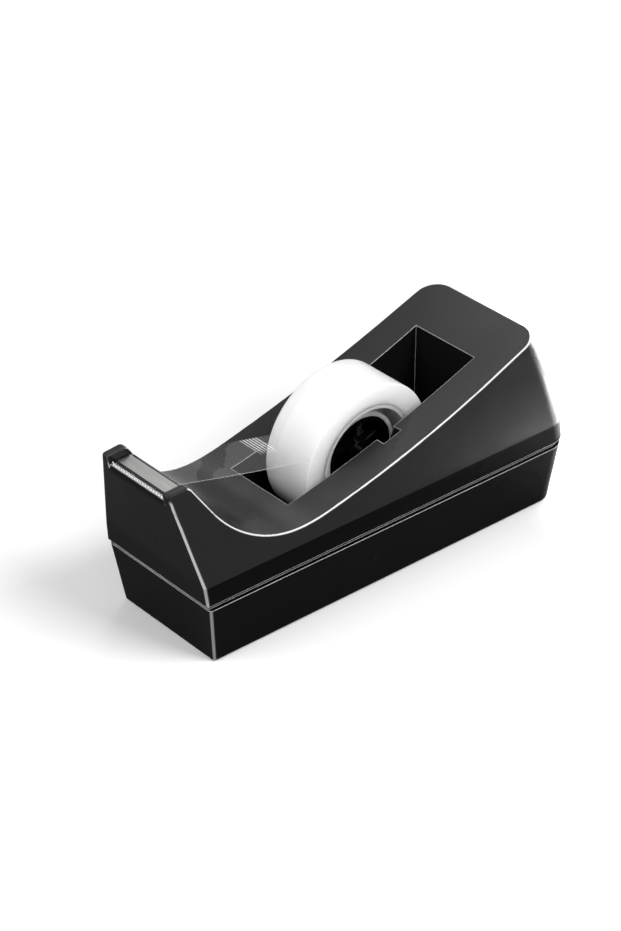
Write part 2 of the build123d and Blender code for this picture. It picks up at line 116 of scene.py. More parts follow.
class DispenserColours(bpy.types.PropertyGroup):
    """Colours of the pieces."""

    housing: bpy.props.FloatVectorProperty(
        name="Housing", description="Black moulding above the crease", subtype="COLOR",
        default=(0.011, 0.011, 0.0115),
    )
    # A lighter copy of the housing's black on the upward faces: painted light.
    saddle: bpy.props.FloatVectorProperty(
        name="Saddle", description="Satin black of the saddle top", subtype="COLOR",
        default=(0.02, 0.02, 0.0204),
    )
    # A darker copy of the housing's black on the nose's front and the well's walls: painted shade.
    front: bpy.props.FloatVectorProperty(
        name="Front", description="Black of the nose's front and of the well", subtype="COLOR",
        default=(0.006, 0.006, 0.0063),
    )
    # The base's own black; on the housing's lower band it is a darker copy of the housing's black:
    # painted shade.
    base: bpy.props.FloatVectorProperty(
        name="Base", description="Black moulding of the base and the housing's lower band",
        subtype="COLOR", default=(0.0025, 0.0025, 0.0027),
    )
    # Colour of the lighter edges: partly scuffs and partly painted highlight; along the rim and the
    # front corners it is painted highlight only.
    wear_and_highlight: bpy.props.FloatVectorProperty(
        name="Edge wear", description="Black plastic where its edges are rubbed", subtype="COLOR",
        default=(0.82, 0.82, 0.825),
    )
    hub: bpy.props.FloatVectorProperty(
        name="Hub", description="Glossy black hub and axle", subtype="COLOR",
        default=(0.002, 0.002, 0.002),
    )
    core: bpy.props.FloatVectorProperty(
        name="Core", description="White core of the roll", subtype="COLOR",
        default=(0.93, 0.93, 0.925),
    )
    tape: bpy.props.FloatVectorProperty(
        name="Wound tape", description="Milky white of the wound tape", subtype="COLOR",
        default=(0.86, 0.86, 0.86),
    )
    film: bpy.props.FloatVectorProperty(
        name="Film", description="Haze of the clear film", subtype="COLOR",
        default=(0.96, 0.965, 0.97),
    )
    steel: bpy.props.FloatVectorProperty(
        name="Steel", description="Screws", subtype="COLOR", default=(0.86, 0.86, 0.855),
    )
    plate: bpy.props.FloatVectorProperty(
        name="Plate", description="Brushed landing plate", subtype="COLOR",
        default=(0.58, 0.58, 0.57),
    )
    blade: bpy.props.FloatVectorProperty(
        name="Blade", description="Bright steel of the blade", subtype="COLOR",
        default=(0.97, 0.97, 0.97),
    )
    rubber: bpy.props.FloatVectorProperty(
        name="Pad", description="Non-slip pad under the base", subtype="COLOR",
        default=(0.03, 0.03, 0.03),
    )
    ballast: bpy.props.FloatVectorProperty(
        name="Ballast", description="Cast block in the base", subtype="COLOR",
        default=(0.16, 0.155, 0.15),
    )
    floor: bpy.props.FloatVectorProperty(
        name="Floor", description="Pale floor", subtype="COLOR", default=(0.86, 0.86, 0.86),
    )


class DispenserStudio(bpy.types.PropertyGroup):
    """Camera and light."""

    azimuth: bpy.props.FloatProperty(
        name="Azimuth", description="Camera's turn about the upright; 0 looks along +Y",
        default=radians(-42.157), subtype="ANGLE",
    )
    elevation: bpy.props.FloatProperty(
        name="Elevation", description="Camera's height above the horizon",
        default=radians(34.248), subtype="ANGLE",
    )
    distance: bpy.props.FloatProperty(
        name="Distance", description="Camera's distance from its target", default=0.7813, unit="LENGTH",
    )
    target: bpy.props.FloatVectorProperty(
        name="Target", description="Point that the camera looks at", subtype="TRANSLATION",
        default=(-0.00774, 0.0, 0.03387),
    )
    lens: bpy.props.FloatProperty(
        name="Lens", description="Focal length in millimetres", default=97.63, unit="CAMERA",
    )
    key_power: bpy.props.FloatProperty(
        name="Key light", description="Power of the large soft light in watts",
        default=14.0, unit="POWER",
    )
    fill_power: bpy.props.FloatProperty(
        name="Fill light", description="Power of the large light at the left in watts",
        default=4.6, unit="POWER",
    )
    floor_power: bpy.props.FloatProperty(
        name="Floor light", description="Power of the light on the floor at the right in watts",
        default=3.9, unit="POWER",
    )
    back_power: bpy.props.FloatProperty(
        name="Back light", description="Power of the small light behind in watts",
        default=0.13, unit="POWER",
    )
    top_power: bpy.props.FloatProperty(
        name="Top light", description="Power of the small light above the rear in watts",
        default=0.1, unit="POWER",
    )
    world_strength: bpy.props.FloatProperty(
        name="Surrounding light", description="Strength of the even light from all round", default=0.36,
    )


# ---- Meshes ---------------------------------------------------------------------------------------

def new_object(name, mesh):
    """Puts a mesh in the scene as an object at the origin."""
    piece = bpy.data.objects.new(name, mesh)
    bpy.context.scene.collection.objects.link(piece)
    return piece


def merged_copy(node, name):
    """Copies a node's shape with its loose triangles merged, smooth but for its sharp edges."""
    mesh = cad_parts[node].data.copy()
    mesh.name = name
    if "custom_normal" in mesh.attributes:
        mesh.attributes.remove(mesh.attributes["custom_normal"])
    shape = bmesh.new()
    shape.from_mesh(mesh)
    bmesh.ops.remove_doubles(shape, verts=shape.verts, dist=MERGE_DISTANCE)
    for face in shape.faces:
        face.smooth = True
        face.material_index = 0
    for edge in shape.edges:
        edge.smooth = edge.is_manifold and edge.calc_face_angle() < SHARP_ANGLE
    shape.to_mesh(mesh)
    shape.free()
    piece = new_object(name, mesh)
    level = piece.modifiers.new("Even shading", "WEIGHTED_NORMAL")
    level.keep_sharp = True
    return piece


def dress(piece, body, materials, nodes):
    """Gives a piece its materials and body, and hides the nodes that it stands for."""
    piece.data.materials.clear()
    for material in materials:
        piece.data.materials.append(material)
    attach(piece, body)
    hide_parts(*nodes)


def dress_node(node, name, body, slot, *materials):
    """Dresses a smooth copy of a node, which stands for the node itself."""
    piece = merged_copy(node, name)
    dress(piece, body, materials, [node])
    return piece


def corner_spots(node):
    """Centres in plan of a node's four like solids, one in each quarter of its box."""
    low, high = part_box(node)
    middle = (low + high) / 2
    spots = []
    for x_side in (-1, 1):
        for y_side in (-1, 1):
            points = [
                v.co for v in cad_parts[node].data.vertices
                if (v.co.x - middle.x) * x_side > 0 and (v.co.y - middle.y) * y_side > 0
            ]
            xs = [point.x for point in points]
            ys = [point.y for point in points]
            spots.append(((min(xs) + max(xs)) / 2, (min(ys) + max(ys)) / 2))
    return spots


# ---- Geometry Nodes -------------------------------------------------------------------------------

class TreeMaker:
    """Adds nodes to a tree and links them, for geometry, shader and group trees alike."""

    def __init__(self, tree):
        self.tree = tree

    def add(self, kind, inputs=None, **settings):
        """Adds a node, sets its properties and sets or links its inputs."""
        made = self.tree.nodes.new(kind)
        for key, value in settings.items():
            setattr(made, key, value)
        for key, value in (inputs or {}).items():
            self.feed(made.inputs[key], value)
        return made

    def feed(self, socket, value):
        """Links an output to a socket, or sets the socket's own value."""
        if isinstance(value, bpy.types.NodeSocket):
            self.tree.links.new(value, socket)
        else:
            socket.default_value = value

    def math(self, operation, first, second=0.0, third=0.0, clamp=False):
        """Adds a Math node and returns its value."""
        made = self.add("ShaderNodeMath", {0: first, 1: second, 2: third}, operation=operation)
        made.use_clamp = clamp
        return made.outputs[0]

    def product(self, first, *others):
        """Multiplies values one after the other."""
        for other in others:
            first = self.math("MULTIPLY", first, other)
        return first

    def ramp(self, value, start, end, low=0.0, high=1.0, curve="LINEAR"):
        """Goes from low to high while the value goes from start to end."""
        made = self.add("ShaderNodeMapRange", {
            "Value": value, "From Min": start, "From Max": end, "To Min": low, "To Max": high,
        }, interpolation_type=curve)
        return made.outputs[0]

    def vector(self, x=0.0, y=0.0, z=0.0):
        """Joins three values to a vector."""
        return self.add("ShaderNodeCombineXYZ", {"X": x, "Y": y, "Z": z}).outputs[0]

    def split(self, vector):
        """Parts a vector into its three values."""
        return self.add("ShaderNodeSeparateXYZ", {0: vector}).outputs

    def join(self, parts):
        """Joins several geometries to one."""
        made = self.add("GeometryNodeJoinGeometry")
        for part in parts:
            self.feed(made.inputs[0], part)
        return made.outputs[0]


def new_geometry_tree(name, inputs):
    """Starts a Geometry Nodes tree with named inputs: (name, socket type, default)."""
    tree = bpy.data.node_groups.new(name, "GeometryNodeTree")
    tree.interface.new_socket("Geometry", in_out="INPUT", socket_type="NodeSocketGeometry")
    for label, kind, default in inputs:
        socket = tree.interface.new_socket(label, in_out="INPUT", socket_type=kind)
        socket.default_value = default
    tree.interface.new_socket("Geometry", in_out="OUTPUT", socket_type="NodeSocketGeometry")
    maker = TreeMaker(tree)
    source = maker.add("NodeGroupInput")
    return tree, maker, source.outputs


def end_geometry_tree(maker, geometry, material):
    """Ends a tree in Realize Instances and Set Material."""
    real = maker.add("GeometryNodeRealizeInstances", {"Geometry": geometry})
    painted = maker.add("GeometryNodeSetMaterial", {"Geometry": real.outputs[0], "Material": material})
    maker.add("NodeGroupOutput", {0: painted.outputs[0]})


def grow(name, points, tree, values):
    """Runs a Geometry Nodes tree on a few points and returns the result as a plain mesh object."""
    seed_mesh = bpy.data.meshes.new(name)
    seed_mesh.from_pydata(points, [], [])
    piece = new_object(name, seed_mesh)
    modifier = piece.modifiers.new("Grow", "NODES")
    modifier.node_group = tree
    for item in tree.interface.items_tree:
        if item.in_out == "INPUT" and item.name in values:
            modifier[item.identifier] = values[item.name]
    evaluated = piece.evaluated_get(bpy.context.evaluated_depsgraph_get())
    mesh = bpy.data.meshes.new_from_object(evaluated)
    if not mesh.polygons:
        raise RuntimeError(f"{name} came out empty")
    piece.modifiers.remove(modifier)
    piece.data = mesh
    bpy.data.meshes.remove(seed_mesh)
    mesh.name = name
    return piece


def screw_tree(material):
    """A cross-recessed screw on every point, its head downwards."""
    tree, maker, inputs = new_geometry_tree("Screws", [
        ("Head radius", "NodeSocketFloat", 2.8 * MM),
        ("Head height", "NodeSocketFloat", 1.8 * MM),
        ("Shank radius", "NodeSocketFloat", 1.5 * MM),
        ("Shank length", "NodeSocketFloat", 11.2 * MM),
        ("Recess width", "NodeSocketFloat", 0.7 * MM),
        ("Recess length", "NodeSocketFloat", 3.0 * MM),
        ("Recess depth", "NodeSocketFloat", 1.1 * MM),
    ])
    head = maker.add("GeometryNodeMeshCylinder", {
        "Vertices": 40, "Radius": inputs["Head radius"], "Depth": inputs["Head height"],
    })
    placed_head = maker.add("GeometryNodeTransform", {
        "Geometry": head.outputs["Mesh"],
        "Translation": maker.vector(z=maker.math("MULTIPLY", inputs["Head height"], 0.5)),
    })
    # Half of the cross's height stands out of the head, so the cut is as deep as the other half.
    depth = maker.math("MULTIPLY", inputs["Recess depth"], 2.0)
    arms = []
    for first, second in (("Recess width", "Recess length"), ("Recess length", "Recess width")):
        size = maker.vector(inputs[first], inputs[second], depth)
        arms.append(maker.add("GeometryNodeMeshCube", {"Size": size}).outputs["Mesh"])
    cut = maker.add("GeometryNodeMeshBoolean", {
        "Mesh 1": placed_head.outputs[0], "Mesh 2": maker.join(arms), "Self Intersection": True,
    }, operation="DIFFERENCE", solver="EXACT")
    shank = maker.add("GeometryNodeMeshCylinder", {
        "Vertices": 24, "Radius": inputs["Shank radius"], "Depth": inputs["Shank length"],
    })
    rise = maker.math("ADD", inputs["Head height"], maker.math("MULTIPLY", inputs["Shank length"], 0.5))
    placed_shank = maker.add("GeometryNodeTransform", {
        "Geometry": shank.outputs["Mesh"], "Translation": maker.vector(z=rise),
    })
    copies = maker.add("GeometryNodeInstanceOnPoints", {
        "Points": inputs["Geometry"],
        "Instance": maker.join([cut.outputs["Mesh"], placed_shank.outputs[0]]),
    })
    end_geometry_tree(maker, copies.outputs[0], material)
    return tree


def blade_tree(material):
    """A serrated strip that stands on a point: zigzag top edge, ground thin at the tips."""
    tree, maker, inputs = new_geometry_tree("Serrated blade", [
        ("Width", "NodeSocketFloat", 24.5 * MM),
        ("Height", "NodeSocketFloat", 6.0 * MM),
        ("Thickness", "NodeSocketFloat", 0.6 * MM),
        ("Teeth", "NodeSocketInt", 20),
        ("Tooth height", "NodeSocketFloat", 1.0 * MM),
        ("Lean", "NodeSocketFloat", radians(10.76)),
        ("Tip thickness", "NodeSocketFloat", 0.15 * MM),
    ])
    flanks = maker.math("MULTIPLY", inputs["Teeth"], 2.0)
    line = maker.add("GeometryNodeMeshLine", {
        "Count": maker.math("ADD", flanks, 1.0),
        "Start Location": maker.vector(y=maker.math("MULTIPLY", inputs["Width"], -0.5)),
        "Offset": maker.vector(y=maker.math("DIVIDE", inputs["Width"], flanks)),
    })
    index = maker.add("GeometryNodeInputIndex")
    odd = maker.math("MODULO", index.outputs[0], 2.0)
    root = maker.math("SUBTRACT", inputs["Height"], inputs["Tooth height"])
    top = maker.math("MULTIPLY_ADD", odd, inputs["Tooth height"], root)
    lifted = maker.add("GeometryNodeSetPosition", {
        "Geometry": line.outputs[0], "Offset": maker.vector(z=top),
    })
    # Pull the zigzag line down to the foot to make the strip's back face.
    drop = maker.add("GeometryNodeExtrudeMesh", {
        "Mesh": lifted.outputs[0], "Offset Scale": 0.0,
    }, mode="EDGES")
    height_now = maker.split(maker.add("GeometryNodeInputPosition").outputs[0])["Z"]
    foot = maker.add("GeometryNodeSetPosition", {
        "Geometry": drop.outputs["Mesh"], "Selection": drop.outputs["Top"],
        "Offset": maker.vector(z=maker.math("MULTIPLY", height_now, -1.0)),
    })
    # Thicken the face towards the front, and close the back with a turned copy of it.
    thick = maker.math("MULTIPLY", inputs["Thickness"], -1.0)
    front = maker.add("GeometryNodeExtrudeMesh", {
        "Mesh": foot.outputs[0], "Offset": maker.vector(x=1.0), "Offset Scale": thick,
        "Individual": False,
    }, mode="FACES")
    back = maker.add("GeometryNodeFlipFaces", {"Mesh": foot.outputs[0]})
    closed = maker.add("GeometryNodeMergeByDistance", {
        "Geometry": maker.join([front.outputs["Mesh"], back.outputs[0]]), "Distance": MERGE_DISTANCE,
    })
    # Grind the back of each tooth: the tips end close to the front face.
    here = maker.split(maker.add("GeometryNodeInputPosition").outputs[0])
    half_tooth = maker.math("MULTIPLY", inputs["Tooth height"], 0.5)
    is_tip = maker.math("GREATER_THAN", here["Z"], maker.math("SUBTRACT", inputs["Height"], half_tooth))
    is_back = maker.math("GREATER_THAN", here["X"], maker.math("MULTIPLY", thick, 0.5))
    ground = maker.product(is_tip, is_back, maker.math("ADD", thick, inputs["Tip thickness"]))
    sharp = maker.add("GeometryNodeSetPosition", {
        "Geometry": closed.outputs[0], "Offset": maker.vector(x=ground),
    })
    leaning = maker.add("GeometryNodeTransform", {
        "Geometry": sharp.outputs[0],
        "Rotation": maker.vector(y=maker.math("MULTIPLY", inputs["Lean"], -1.0)),
    })
    copies = maker.add("GeometryNodeInstanceOnPoints", {
        "Points": inputs["Geometry"], "Instance": leaning.outputs[0],
    })
    end_geometry_tree(maker, copies.outputs[0], material)
    return tree


# ---- Shader node groups ---------------------------------------------------------------------------

def shader_group(name, inputs, outputs, build):
    """Returns a shader node group, and builds it the first time that it is asked for."""
    if name in bpy.data.node_groups:
        return bpy.data.node_groups[name]
    tree = bpy.data.node_groups.new(name, "ShaderNodeTree")
    for label, kind, default in inputs:
        socket = tree.interface.new_socket(label, in_out="INPUT", socket_type=kind)
        socket.default_value = default
    for label, kind in outputs:
        tree.interface.new_socket(label, in_out="OUTPUT", socket_type=kind)
    maker = TreeMaker(tree)
    source = maker.add("NodeGroupInput")
    results = build(maker, source.outputs)
    sink = maker.add("NodeGroupOutput")
    for label, value in results.items():
        maker.feed(sink.inputs[label], value)
    return tree


def edge_scuff_and_highlight_group():
    """Mask of the lighter edges, partly scuffs and partly painted highlight, and the normal that rounds
    them.
    """
    def build(maker, inputs):
        bevel = maker.add("ShaderNodeBevel", {"Radius": inputs["Radius"]}, samples=6)
        flat = maker.add("ShaderNodeNewGeometry")
        same = maker.add("ShaderNodeVectorMath", {
            0: bevel.outputs[0], 1: flat.outputs["Normal"],
        }, operation="DOT_PRODUCT")
        bent = maker.math("SUBTRACT", 1.0, same.outputs["Value"])
        place = maker.add("ShaderNodeTexCoord")
        patches = maker.add("ShaderNodeTexNoise", {
            "Vector": place.outputs["Object"], "Scale": inputs["Patch scale"], "Detail": 4.0,
        })
        broken = maker.math("MULTIPLY_ADD", patches.outputs[0], inputs["Unevenness"],
                            maker.math("SUBTRACT", 1.0, inputs["Unevenness"]))
        # The last input brings in the painted highlight lines of the rim and the front corners.
        either = maker.math("MAXIMUM", maker.math("MULTIPLY", bent, inputs["Gain"]), inputs["Rounded"])
        return {"Mask": maker.math("MULTIPLY", either, broken, clamp=True), "Normal": bevel.outputs[0]}

    return shader_group("Edge wear", [
        ("Radius", "NodeSocketFloat", 0.3 * MM),
        ("Gain", "NodeSocketFloat", 8.0),
        ("Patch scale", "NodeSocketFloat", 90.0),
        ("Unevenness", "NodeSocketFloat", 0.25),
        ("Rounded", "NodeSocketFloat", 0.0),
    ], [("Mask", "NodeSocketFloat"), ("Normal", "NodeSocketVector")], build)


def painted_rim_highlight_group():
    """Mask of painted highlight lines along the rounded rim beside the saddle and along the rounded
    corners of the front face.
    """
    # Sideways part of the normal in the middle of each rounded strip.
    rim_slant, corner_slant = 0.62, 0.68
    fade_share = 0.4

    def build(maker, inputs):
        place = maker.add("ShaderNodeTexCoord")
        facing = maker.split(place.outputs["Normal"])
        spot = maker.split(place.outputs["Object"])

        def soft(value, start, end):
            return maker.ramp(value, start, end, curve="SMOOTHSTEP")

        def strip(slant):
            away = maker.math("ABSOLUTE", maker.math("SUBTRACT", sideways, slant))
            return soft(away, inputs["Width"], maker.math("MULTIPLY", inputs["Width"], fade_share))

        sideways = maker.math("ABSOLUTE", facing["Y"])
        faces_up = soft(facing["Z"], 0.3, 0.42)
        behind_nose = soft(spot["X"], NOSE_X + 6.5 * MM, NOSE_X + 7.5 * MM)
        rim = maker.product(strip(rim_slant), faces_up, behind_nose)
        faces_front = soft(facing["X"], -0.2, -0.4)
        below_ears = soft(spot["Z"], EAR_TOP_Z - 1.5 * MM, EAR_TOP_Z - 3 * MM)
        upright = soft(facing["Z"], 0.2, 0.1)
        corner = maker.product(strip(corner_slant), faces_front, below_ears, upright)
        return {"Mask": maker.math("MAXIMUM", rim, maker.math("MULTIPLY", corner, inputs["Corner"]))}

    return shader_group("Rubbed rim", [
        ("Width", "NodeSocketFloat", 0.34),
        ("Corner", "NodeSocketFloat", 0.6),
    ], [("Mask", "NodeSocketFloat")], build)


def moulded_grain_group():
    """Fine grain of a moulded surface, and the slow change of its gloss."""
    def build(maker, inputs):
        place = maker.add("ShaderNodeTexCoord")
        fine = maker.add("ShaderNodeTexNoise", {
            "Vector": place.outputs["Object"], "Scale": inputs["Grain scale"], "Detail": 3.0,
        })
        slow = maker.add("ShaderNodeTexNoise", {
            "Vector": place.outputs["Object"], "Scale": inputs["Smudge scale"], "Detail": 2.0,
            "Distortion": 0.6,
        })
        return {"Height": fine.outputs[0], "Smudge": slow.outputs[0]}

    return shader_group("Moulded grain", [
        ("Grain scale", "NodeSocketFloat", 3000.0),
        ("Smudge scale", "NodeSocketFloat", 22.0),
    ], [("Height", "NodeSocketFloat"), ("Smudge", "NodeSocketFloat")], build)


def brushed_grain_group():
    """Fine lines drawn out along Y, as brushing or grinding leaves them."""
    def build(maker, inputs):
        place = maker.add("ShaderNodeTexCoord")
        stretch = maker.add("ShaderNodeMapping", {
            "Vector": place.outputs["Object"],
            "Scale": maker.vector(inputs["Across"], inputs["Along"], inputs["Across"]),
        })
        lines = maker.add("ShaderNodeTexNoise", {
            "Vector": stretch.outputs[0], "Scale": 1.0, "Detail": 4.0,
        })
        return {"Lines": lines.outputs[0]}

    return shader_group("Brushed grain", [
        ("Across", "NodeSocketFloat", 5200.0),
        ("Along", "NodeSocketFloat", 90.0),
    ], [("Lines", "NodeSocketFloat")], build)


def winding_group():
    """Fine rings that the wound layers leave on a face, and the place across the roll's width."""
    def build(maker, inputs):
        spot = maker.split(maker.add("ShaderNodeTexCoord").outputs["Object"])
        dx = maker.math("SUBTRACT", spot["X"], AXLE_X)
        dz = maker.math("SUBTRACT", spot["Z"], AXLE_Z)
        squares = maker.math("ADD", maker.product(dx, dx), maker.product(dz, dz))
        turns = maker.math("DIVIDE", maker.math("SQRT", squares), inputs["Layer pitch"])
        layers = maker.add("ShaderNodeTexNoise", {
            "W": turns, "Scale": 1.0, "Detail": 3.0, "Roughness": 0.7,
        }, noise_dimensions="1D")
        return {"Rings": layers.outputs[0], "Across": spot["Y"]}

    return shader_group("Winding", [
        ("Layer pitch", "NodeSocketFloat", 0.35 * MM),
    ], [("Rings", "NodeSocketFloat"), ("Across", "NodeSocketFloat")], build)


# ---- Materials ------------------------------------------------------------------------------------

WHITE = (1.0, 1.0, 1.0, 1.0)
# Light goes equally far into a milky piece in red, green and blue.
EVEN_SCATTER = (1.0, 1.0, 1.0)
# A noise texture's values mostly lie between these two.
NOISE_LOW, NOISE_HIGH = 0.3, 0.7
# A Mix node's colour sockets come after its sockets for values and vectors.
MIX_FIRST, MIX_SECOND, MIX_RESULT = 6, 7, 2


def new_material(name, constants):
    """A material with one Principled BSDF whose sockets hold the given constants."""
    material = bpy.data.materials.new(name)
    material.use_nodes = True
    material.node_tree.nodes.clear()
    maker = TreeMaker(material.node_tree)
    shader = maker.add("ShaderNodeBsdfPrincipled", constants)
    maker.add("ShaderNodeOutputMaterial", {"Surface": shader.outputs[0]})
    return material, maker, shader


def put_group(maker, group, values):
    """Places a shader node group in a material with its own values."""
    placed = maker.add("ShaderNodeGroup", node_tree=group)
    for key, value in values.items():
        maker.feed(placed.inputs[key], value)
    return placed


def opaque(colour):
    """A colour property as the four numbers of a colour socket."""
    return (*colour, 1.0)


def mix_colours(maker, factor, first, second):
    """Mixes two colours by a factor."""
    mix = maker.add("ShaderNodeMix", {"Factor": factor}, data_type="RGBA")
    maker.feed(mix.inputs[MIX_FIRST], first)
    maker.feed(mix.inputs[MIX_SECOND], second)
    return mix.outputs[MIX_RESULT]


def scaled(colour, share):
    """A colour made darker or lighter, with no channel above one."""
    return tuple(min(1.0, share * part) for part in colour)


def finish_surface(maker, shader, colour, roughness, relief):
    """Feeds a shader its colour, its roughness and a Bump node with the given inputs."""
    maker.feed(shader.inputs["Base Color"], colour)
    maker.feed(shader.inputs["Roughness"], roughness)
    maker.feed(shader.inputs["Normal"], maker.add("ShaderNodeBump", relief).outputs[0])


def moulded_plastic(name, colour, worn_and_highlit, specular, roughness, highlighted=0.0, milky=0.0):
    """Moulded plastic: fine grain, roughness between two values and lighter edges, partly scuffs and
    partly painted highlight.

    The rim value sets how strongly a painted highlight line lies on the front's rounded corners, and
    any value above zero paints one along the rim beside the saddle too. Milky lets light into the
    piece.
    """
    material, maker, shader = new_material(name, {
        "Specular IOR Level": specular, "Subsurface Weight": milky, "Subsurface Scale": 4.0 * MM,
        "Subsurface Radius": EVEN_SCATTER,
    })
    surface = put_group(maker, moulded_grain_group(), {})
    wear_and_highlight = put_group(maker, edge_scuff_and_highlight_group(), {"Radius": 0.35 * MM, "Gain": 6.0})
    if highlighted:
        rim = put_group(maker, painted_rim_highlight_group(), {"Corner": highlighted})
        maker.feed(wear_and_highlight.inputs["Rounded"], rim.outputs["Mask"])
    # The edges' lighter colour is partly scuffs and partly painted highlight; on the rim and the front
    # corners it is painted highlight.
    finish_surface(
        maker, shader,
        mix_colours(maker, wear_and_highlight.outputs["Mask"], opaque(colour), opaque(worn_and_highlit)),
        maker.ramp(surface.outputs["Smudge"], NOISE_LOW, NOISE_HIGH, *roughness),
        {"Strength": 0.02, "Distance": 0.02 * MM, "Height": surface.outputs["Height"],
         "Normal": wear_and_highlight.outputs["Normal"]},
    )
    return material


def brushed_steel(name, colour, roughness, depth, across, along, dark=0.8):
    """Steel with fine lines along Y; across and along are the fineness of the lines."""
    material, maker, shader = new_material(name, {"Metallic": 1.0})
    grain = put_group(maker, brushed_grain_group(), {"Across": across, "Along": along})
    lines = grain.outputs["Lines"]
    wear_and_highlight = put_group(maker, edge_scuff_and_highlight_group(), {"Radius": 0.1 * MM})
    finish_surface(
        maker, shader,
        mix_colours(maker, lines, opaque(scaled(colour, dark)), opaque(colour)),
        maker.ramp(lines, NOISE_LOW, NOISE_HIGH, *roughness),
        {"Strength": depth, "Distance": 0.01 * MM, "Height": lines, "Normal": wear_and_highlight.outputs["Normal"]},
    )
    return material


def rough_sheet(name, colour, scale, depth, roughness):
    """Rubber or cast surface: coarse matt grain."""
    lighter, spread = 1.6, 0.08
    material, maker, shader = new_material(name, {"Specular IOR Level": 0.3})
    surface = put_group(maker, moulded_grain_group(), {"Grain scale": scale, "Smudge scale": 40.0})
    grain = surface.outputs["Height"]
    finish_surface(
        maker, shader,
        mix_colours(maker, grain, opaque(colour), opaque(scaled(colour, lighter))),
        maker.ramp(surface.outputs["Smudge"], 0.0, 1.0, roughness - spread, roughness + spread),
        {"Strength": depth, "Distance": 0.15 * MM, "Height": grain},
    )
    return material


def wound_tape_material(colour):
    """Milky wound tape: faint grey rings on its faces and a greyer band along the far edge."""
    ring_share, band_share, grey_share = 0.35, 0.55, 0.86
    material, maker, shader = new_material("wound_tape_milky", {
        "Specular IOR Level": 0.4, "Subsurface Weight": 1.0, "Subsurface Scale": 8.0 * MM,
        "Subsurface Radius": EVEN_SCATTER,
    })
    winding = put_group(maker, winding_group(), {})
    rings = winding.outputs["Rings"]
    band = maker.ramp(winding.outputs["Across"], ROLL_HALF - 4.6 * MM, ROLL_HALF - 4.0 * MM)
    grey = opaque(scaled(colour, grey_share))
    ringed = mix_colours(maker, maker.math("MULTIPLY", rings, ring_share), opaque(colour), grey)
    finish_surface(
        maker, shader,
        mix_colours(maker, maker.math("MULTIPLY", band, band_share), ringed, grey),
        maker.ramp(rings, 0.0, 1.0, 0.22, 0.4),
        {"Strength": 0.15, "Distance": 0.03 * MM, "Height": rings},
    )
    return material


def film_material(colour):
    """Clear film: patches of haze, a lighter near edge and peel lines across it near the roll."""
    clear_haze, patch_haze, edge_haze, line_haze = 0.011, 0.02, 0.22, 0.6
    border_slant, border_waves = 1.17, 14.0 * MM
    plate_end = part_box("landing_plate")[1].x
    material, maker, shader = new_material("clear_film", {
        "Base Color": opaque(colour), "Roughness": 0.12, "Specular IOR Level": 0.5,
    })
    place = maker.add("ShaderNodeTexCoord").outputs["Object"]
    spot = maker.split(place)

    # The cut edge on the near side, fading towards the roll.
    cut = maker.ramp(maker.math("ABSOLUTE", spot["Y"]), ROLL_HALF - 0.4 * MM, ROLL_HALF - 0.2 * MM)
    near_side = maker.ramp(spot["Y"], 1.0 * MM, -1.0 * MM)
    before_roll = maker.ramp(spot["X"], ROLL_LOW.x - 2 * MM, ROLL_LOW.x - 7 * MM)
    edge = maker.product(cut, near_side, before_roll)

    # Two hazier patches, by the roll and by the nose, with a slanting, wavy border.
    wobble = maker.add("ShaderNodeTexNoise", {
        "Vector": place, "Scale": 110.0, "Detail": 3.0,
    }).outputs[0]
    slant = maker.math("SUBTRACT", spot["X"], maker.math("MULTIPLY", spot["Y"], border_slant))
    border = maker.math("MULTIPLY_ADD", wobble, border_waves, slant)
    by_roll = maker.ramp(border, ROLL_LOW.x - 19.0 * MM, ROLL_LOW.x - 18.6 * MM)
    by_nose = maker.ramp(border, NOSE_X + 33.0 * MM, NOSE_X + 32.6 * MM)
    haze = maker.math("MULTIPLY_ADD", maker.math("MAXIMUM", by_roll, by_nose), patch_haze, clear_haze)

    # Thin lines across the film's far half, a little before the roll.
    stripes = maker.add("ShaderNodeTexWave", {
        "Vector": place, "Scale": 250.0, "Distortion": 0.3, "Detail": 1.0,
    }, bands_direction="X").outputs["Fac"]
    lines_begin = maker.ramp(spot["X"], ROLL_LOW.x - 11 * MM, ROLL_LOW.x - 10 * MM)
    lines_end = maker.ramp(spot["X"], ROLL_LOW.x - 3 * MM, ROLL_LOW.x - 4 * MM)
    far_side = maker.ramp(spot["Y"], -1.0 * MM, 2.5 * MM)
    lines = maker.product(maker.math("POWER", stripes, 4.0), lines_begin, lines_end, far_side)

    marks = maker.math("MULTIPLY_ADD", lines, line_haze, haze)
    marks = maker.math("MULTIPLY_ADD", edge, edge_haze, marks)
    off_plate = maker.ramp(spot["X"], plate_end, plate_end + 0.5 * MM)
    maker.feed(shader.inputs["Alpha"], maker.math("MULTIPLY", marks, off_plate, clamp=True))
    return material


def floor_material(colour):
    """Pale floor that keeps the shadow round the dispenser and glows whiter the farther away it is."""
    near, far = 0.25, 0.7
    near_glow, far_glow = 0.04, 0.5
    material, maker, shader = new_material("pale_floor", {
        "Base Color": opaque(colour), "Roughness": 0.9, "Specular IOR Level": 0.0,
        "Emission Color": WHITE,
    })
    # The glow shows to the eye, in gloss and through glass, and lights nothing else.
    path = maker.add("ShaderNodeLightPath").outputs
    seen = maker.math("MAXIMUM", path["Is Camera Ray"], path["Is Glossy Ray"])
    seen = maker.math("MAXIMUM", seen, path["Is Transmission Ray"])
    place = maker.add("ShaderNodeTexCoord").outputs["Object"]
    away = maker.add("ShaderNodeVectorMath", {0: place}, operation="LENGTH").outputs["Value"]
    glow = maker.ramp(away, near, far, near_glow, far_glow)
    maker.feed(shader.inputs["Emission Strength"], maker.math("MULTIPLY", seen, glow))
    return material


# ---- Pieces ---------------------------------------------------------------------------------------

